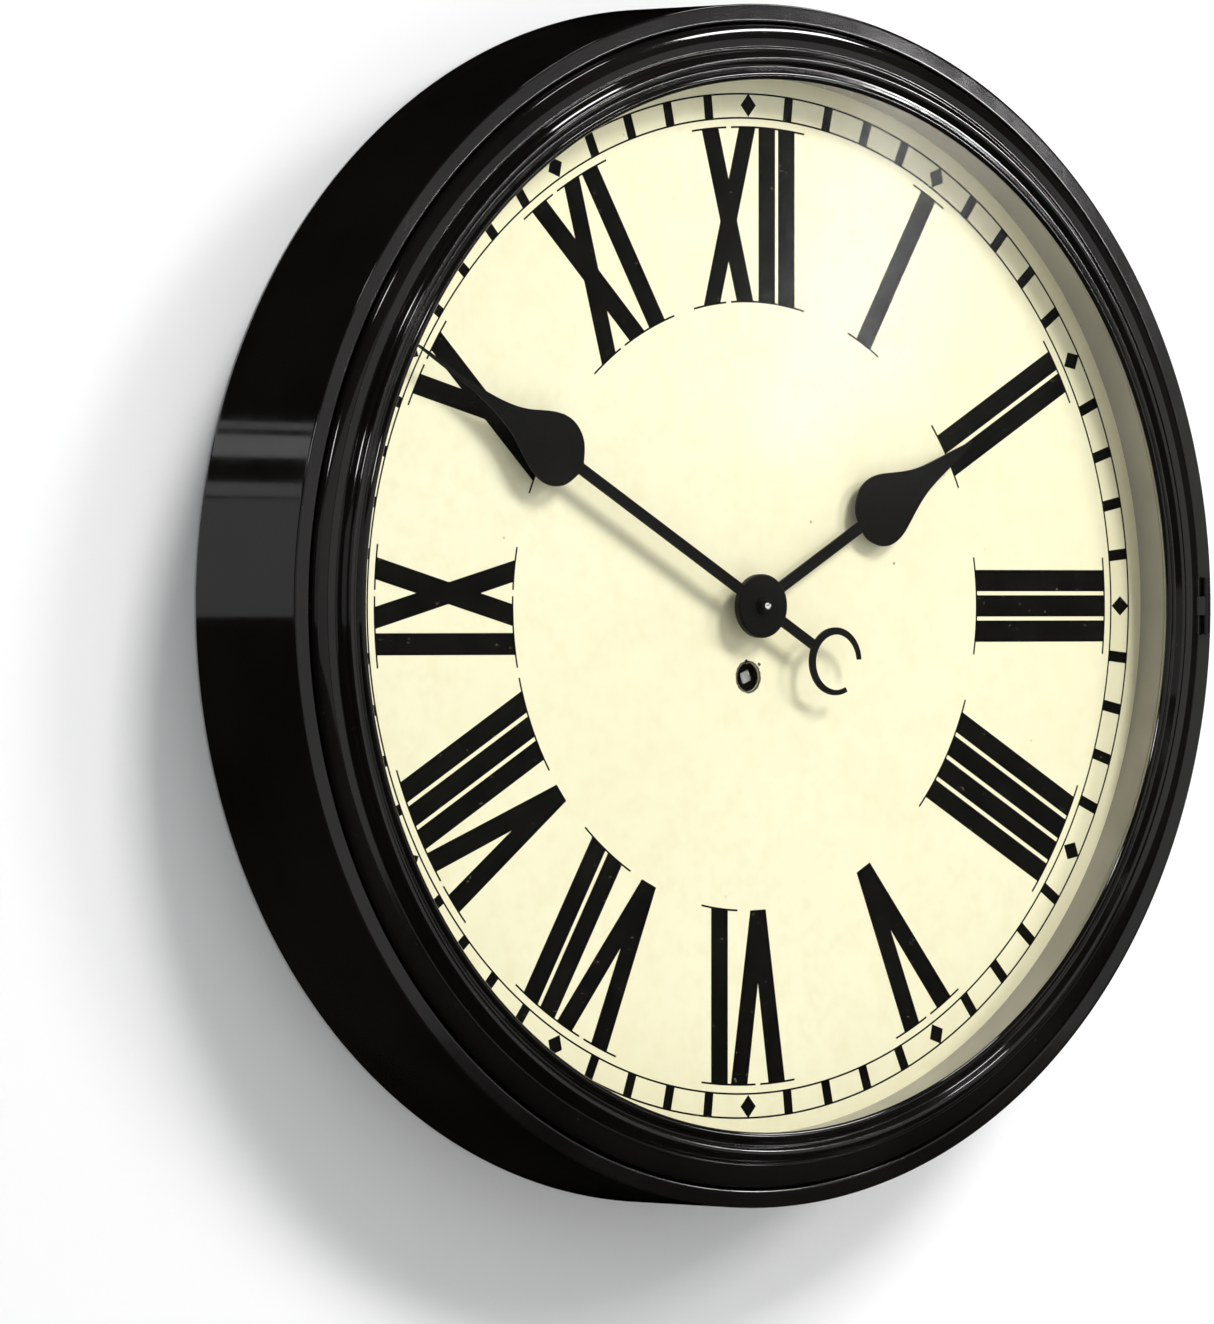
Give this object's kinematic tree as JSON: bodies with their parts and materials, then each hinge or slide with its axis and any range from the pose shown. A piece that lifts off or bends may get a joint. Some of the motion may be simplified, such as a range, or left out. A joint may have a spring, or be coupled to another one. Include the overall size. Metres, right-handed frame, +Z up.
{
  "type": "wall clock",
  "caption": "Round wall clock: black drum case, hinged moulded glazed bezel, cream dial, spade hands, and a key-wound spring movement with a short pendulum.",
  "frame": {"origin": "on the clock's axis, in the plane of the wall, at the middle of the back cover", "axes": "+Z up, the dial faces -Y, +X to the right as seen from the front; +Y is the axis of the hands and points into the wall"},
  "size_m": [0.5, 0.0732, 0.5],
  "materials": {
    "black_lacquer": "gloss black lacquer",
    "cover_paint": "satin black paint",
    "dial_paint": "cream dial enamel paint",
    "ring_paint": "cream paint",
    "glass": "clear",
    "steel": "bright steel",
    "dark_steel": "oiled steel",
    "spring_steel": "blued spring steel",
    "brass": "lacquered brass",
    "hand_black": "satin black paint"
  },
  "bodies": {
    "case": {"case_drum": "black_lacquer", "back_cover": "cover_paint", "back_cover_screws": "steel", "hanger_plate": "dark_steel", "hanger_rivets": "dark_steel", "dial_brackets": "dark_steel", "dial": "dial_paint", "reveal_ring": "ring_paint", "dial_screws": "steel", "hinge_case_leaf": "black_lacquer", "hinge_pin": "dark_steel", "catch_clip": "spring_steel", "back_plate": "brass", "front_plate": "brass", "plate_pillars": "brass", "plate_screws": "steel", "dial_feet": "steel", "dial_foot_nuts": "steel", "click_screw": "steel", "suspension_cock": "brass", "cock_screws": "steel", "suspension_pin": "steel", "minute_post": "steel"},
    "bezel": {"bezel_ring": "black_lacquer", "bezel_glass": "glass", "glass_retainer": "ring_paint", "hinge_bezel_leaf": "black_lacquer", "catch_stud": "steel"},
    "barrel": {"barrel": "brass", "barrel_cap": "brass", "mainspring": "spring_steel"},
    "winding": {"winding_arbor": "steel", "ratchet_wheel": "steel"},
    "click": {"click": "steel"},
    "second": {"second_arbor": "steel", "second_wheel": "brass"},
    "centre": {"centre_arbor": "steel", "centre_wheel": "brass", "cannon_pinion": "steel", "minute_hand": "hand_black", "hand_washer": "hand_black", "hand_nut": "hand_black"},
    "third": {"third_arbor": "steel", "third_wheel": "brass"},
    "escape": {"escape_arbor": "steel", "escape_wheel": "brass"},
    "minute_work": {"minute_wheel": "brass"},
    "hour": {"hour_wheel": "brass", "hour_hand": "hand_black"},
    "anchor": {"anchor_arbor": "steel", "anchor": "dark_steel", "crutch": "brass"},
    "pendulum": {"suspension_spring": "spring_steel", "pendulum_rod": "steel", "pendulum_bob": "brass", "rating_nut": "brass"}
  },
  "joints": [
    {"name": "centre_turn", "type": "hinge", "parent": "case", "child": "centre", "pos_m": [0, -0.03, 0], "axis": [0, 1, 0], "continuous": true},
    {"name": "hour_turn", "type": "hinge", "parent": "case", "child": "hour", "pos_m": [0, -0.05, 0], "axis": [0, 1, 0], "continuous": true},
    {"name": "minute_work_turn", "type": "hinge", "parent": "case", "child": "minute_work", "pos_m": [-0.015, -0.046, 0], "axis": [0, 1, 0], "continuous": true},
    {"name": "barrel_turn", "type": "hinge", "parent": "case", "child": "barrel", "pos_m": [0, -0.03, -0.0295], "axis": [0, 1, 0], "continuous": true},
    {"name": "second_turn", "type": "hinge", "parent": "case", "child": "second", "pos_m": [0.02245, -0.03, -0.01146], "axis": [0, 1, 0], "continuous": true},
    {"name": "third_turn", "type": "hinge", "parent": "case", "child": "third", "pos_m": [-0.01408, -0.03, 0.01869], "axis": [0, 1, 0], "continuous": true},
    {"name": "escape_turn", "type": "hinge", "parent": "case", "child": "escape", "pos_m": [0, -0.03, 0.03232], "axis": [0, 1, 0], "continuous": true},
    {"name": "pendulum_swing", "type": "hinge", "parent": "case", "child": "pendulum", "pos_m": [0, -0.0084, 0.05424], "axis": [0, 1, 0], "range_deg": [-3, 3]},
    {"name": "anchor_rock", "type": "hinge", "parent": "case", "child": "anchor", "pos_m": [0, -0.03, 0.05424], "axis": [0, 1, 0], "range_deg": [-3.01, 3.01]},
    {"name": "winding_turn", "type": "hinge", "parent": "case", "child": "winding", "pos_m": [0, -0.044, -0.0295], "axis": [0, 1, 0], "range_deg": [0, 1800]},
    {"name": "click_lift", "type": "hinge", "parent": "case", "child": "click", "pos_m": [0.01674, -0.0448, -0.03245], "axis": [0, -1, 0], "range_deg": [0, 10], "stiffness_Nm_per_rad": 0.004, "springref_deg": -11.46},
    {"name": "bezel_open", "type": "hinge", "parent": "case", "child": "bezel", "pos_m": [0.2452, -0.0666, 0], "axis": [0, 0, 1], "range_deg": [0, 110]}
  ],
  "couplings": [
    {"joint": "hour_turn", "follows": "centre_turn", "ratio": 0.083333},
    {"joint": "minute_work_turn", "follows": "centre_turn", "ratio": -0.33333},
    {"joint": "second_turn", "follows": "centre_turn", "ratio": -0.16667},
    {"joint": "barrel_turn", "follows": "centre_turn", "ratio": 0.02381},
    {"joint": "third_turn", "follows": "centre_turn", "ratio": -12},
    {"joint": "escape_turn", "follows": "centre_turn", "ratio": 135},
    {"joint": "anchor_rock", "follows": "pendulum_swing", "ratio": 1}
  ]
}
